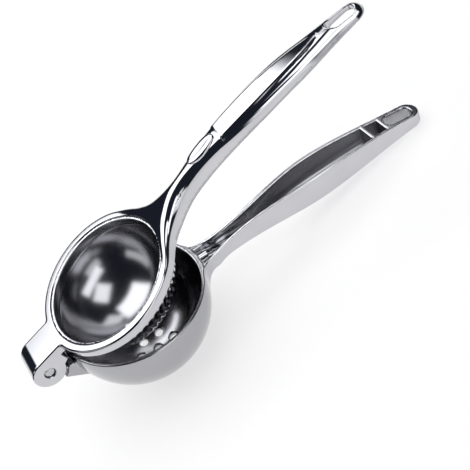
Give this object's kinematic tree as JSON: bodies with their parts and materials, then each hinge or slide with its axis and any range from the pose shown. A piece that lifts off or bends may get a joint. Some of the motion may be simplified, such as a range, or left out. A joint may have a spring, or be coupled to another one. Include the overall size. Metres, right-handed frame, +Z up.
{
  "type": "citrus press",
  "caption": "Hand citrus press: a ribbed dome on one long arm pushes half a fruit into a drained bowl on the other; the arms fold about a cross pin.",
  "frame": {"origin": "centre of the bounding box on the surface the press stands on", "axes": "+X towards the handle ends, +Y along the hinge pin, +Z up"},
  "size_m": [0.225, 0.0746, 0.0859],
  "materials": {
    "bowl_chrome": "polished plating outside, satin inside the bowl and channel",
    "press_chrome": "mirror plating outside, satin in the dome's hollow",
    "pin_steel": "turned steel pin with domed ends"
  },
  "bodies": {
    "lower_arm": {"bowl_arm": "bowl_chrome"},
    "upper_arm": {"press_arm": "press_chrome", "hinge_pin": "pin_steel"}
  },
  "joints": [
    {"name": "arm_hinge", "type": "hinge", "parent": "lower_arm", "child": "upper_arm", "pos_m": [-0.10435, 0, 0.05254], "axis": [0, -1, 0], "range_deg": [-18.4, 74]}
  ]
}
